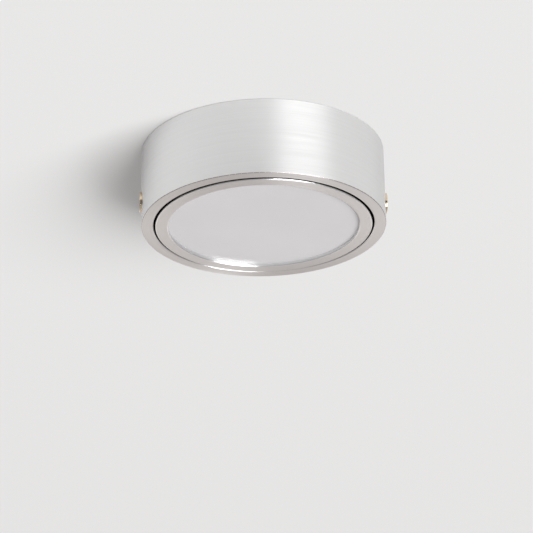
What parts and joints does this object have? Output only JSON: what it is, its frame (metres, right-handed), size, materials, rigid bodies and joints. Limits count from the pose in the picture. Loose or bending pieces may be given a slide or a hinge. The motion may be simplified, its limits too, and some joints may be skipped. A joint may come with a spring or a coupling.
{
  "type": "under-cabinet light",
  "caption": "Round surface-mounted under-cabinet light: satin nickel housing, rounded trim ring, recessed opal diffuser, LED module and driver held by brass side screws.",
  "frame": {"origin": "centre of the mounting face, the flat back of the housing that lies against the cabinet", "axes": "+Z out of the mounting face, up into the cabinet; the light hangs below it with the diffuser facing -Z; the two side screws lie on the X axis; the cable entry is on +Y"},
  "size_m": [0.071, 0.07, 0.0233],
  "materials": {
    "satin_nickel": "turned aluminium, satin nickel plated, fine brushed",
    "trim_nickel": "turned aluminium, satin nickel plated",
    "opal_acrylic": "opal acrylic, half gloss",
    "brass": "plain turned brass",
    "black_rubber": "matt",
    "silicone": "matt silicone",
    "white_plastic": "moulded, matt",
    "white_board": "white solder mask on aluminium core",
    "led_phosphor": "silicone phosphor in a white frame",
    "zinc_steel": "zinc plated",
    "cast_aluminium": "die cast, blasted",
    "amber_film": "polyimide film",
    "green_board": "glass-fibre board with solder mask",
    "ferrite": "sintered ferrite",
    "can_aluminium": "drawn, bright",
    "black_plastic": "moulded epoxy",
    "tan_ceramic": "fired ceramic",
    "red_insulation": "silicone insulation",
    "black_insulation": "silicone insulation"
  },
  "bodies": {
    "root": {"housing": "satin_nickel", "cable_grommet": "black_rubber", "side_screws": "brass", "trim_ring": "trim_nickel", "diffuser": "opal_acrylic", "lens_gasket": "silicone", "reflector": "white_plastic", "led_board": "white_board", "led_packages": "led_phosphor", "led_board_screws": "zinc_steel", "thermal_pad": "silicone", "heat_sink": "cast_aluminium", "insulating_sheet": "amber_film", "driver_board": "green_board", "inductor": "ferrite", "capacitor_cans": "can_aluminium", "capacitor_bases": "black_plastic", "bridge_rectifier": "black_plastic", "driver_chip": "black_plastic", "flyback_diode": "black_plastic", "chip_resistors": "black_plastic", "chip_capacitors": "tan_ceramic", "terminal_block": "white_plastic", "terminal_contacts": "brass", "positive_lead": "red_insulation", "negative_lead": "black_insulation", "driver_cover": "white_plastic", "cover_screws": "zinc_steel"}
  },
  "joints": []
}
